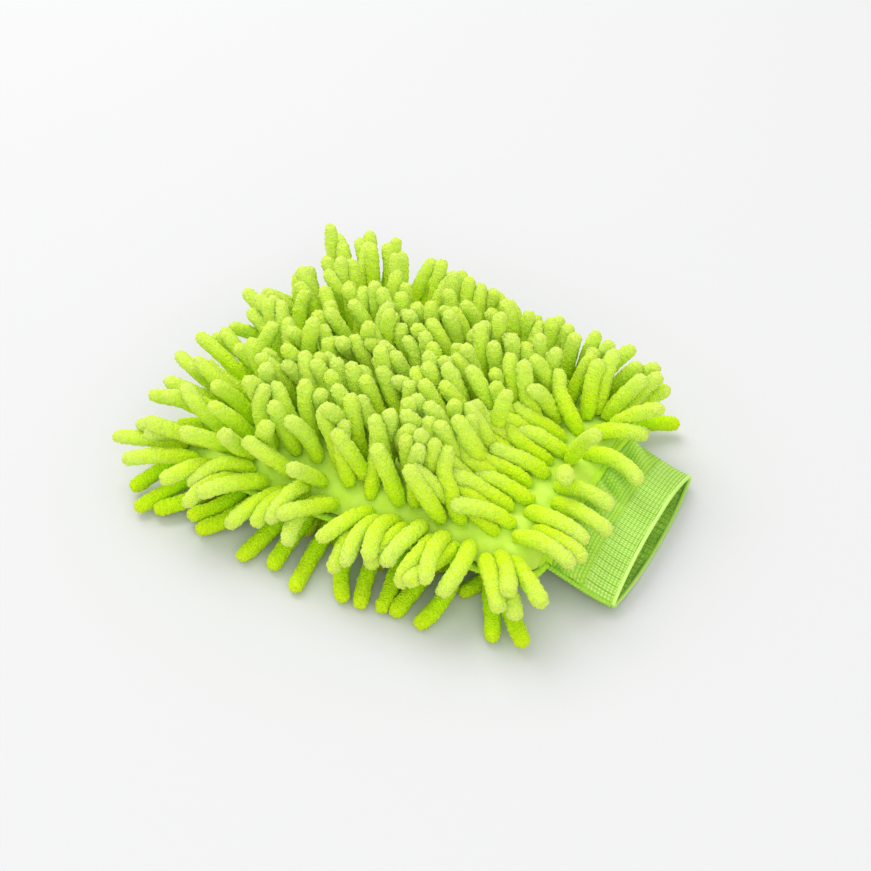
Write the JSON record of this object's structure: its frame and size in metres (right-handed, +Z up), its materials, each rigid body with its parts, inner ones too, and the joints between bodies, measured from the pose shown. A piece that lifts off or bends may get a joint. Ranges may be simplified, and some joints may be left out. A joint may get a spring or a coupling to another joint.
{
  "type": "wash mitt",
  "caption": "Soft car wash mitt: chenille noodles in sewn rows on both faces round an open hand pocket, with a knitted elastic cuff.",
  "frame": {"origin": "bottom centre of the whole mitt as it lies on its noodles", "axes": "+X along the mitt from the fingertip end to the cuff's mouth, +Y across the hand, +Z up"},
  "size_m": [0.2748, 0.2174, 0.0682],
  "materials": {
    "chenille": "soft chenille pile, matt",
    "base_cloth": "brushed fleece, matt",
    "lining_cloth": "thin knitted lining, matt",
    "cuff_knit": "waffle knit, matt",
    "cuff_elastic": "ribbed elastic knit, slight sheen",
    "seam_thread": "overlocked thread, matt"
  },
  "bodies": {
    "root": {"top_cloth": "base_cloth", "top_lining": "lining_cloth", "bottom_cloth": "base_cloth", "bottom_lining": "lining_cloth", "left_side_seam": "seam_thread", "right_side_seam": "seam_thread", "fingertip_seam": "seam_thread", "cuff_left_seam": "seam_thread", "cuff_right_seam": "seam_thread", "cuff_join_top": "seam_thread", "cuff_join_bottom": "seam_thread", "cuff_knit_top": "cuff_knit", "cuff_elastic_top": "cuff_elastic", "cuff_hem_top": "cuff_elastic", "cuff_knit_bottom": "cuff_knit", "cuff_elastic_bottom": "cuff_elastic", "cuff_hem_bottom": "cuff_elastic", "top_noodles_01": "chenille", "top_noodles_02": "chenille", "top_noodles_03": "chenille", "top_noodles_04": "chenille", "top_noodles_05": "chenille", "top_noodles_06": "chenille", "top_noodles_07": "chenille", "top_noodles_08": "chenille", "top_noodles_09": "chenille", "top_noodles_10": "chenille", "top_noodles_11": "chenille", "top_noodles_12": "chenille", "top_noodles_13": "chenille", "top_noodles_14": "chenille", "top_noodles_15": "chenille", "bottom_noodles_01": "chenille", "bottom_noodles_02": "chenille", "bottom_noodles_03": "chenille", "bottom_noodles_04": "chenille", "bottom_noodles_05": "chenille", "bottom_noodles_06": "chenille", "bottom_noodles_07": "chenille", "bottom_noodles_08": "chenille", "bottom_noodles_09": "chenille", "bottom_noodles_10": "chenille", "bottom_noodles_11": "chenille", "bottom_noodles_12": "chenille", "bottom_noodles_13": "chenille", "bottom_noodles_14": "chenille", "bottom_noodles_15": "chenille"}
  },
  "joints": []
}
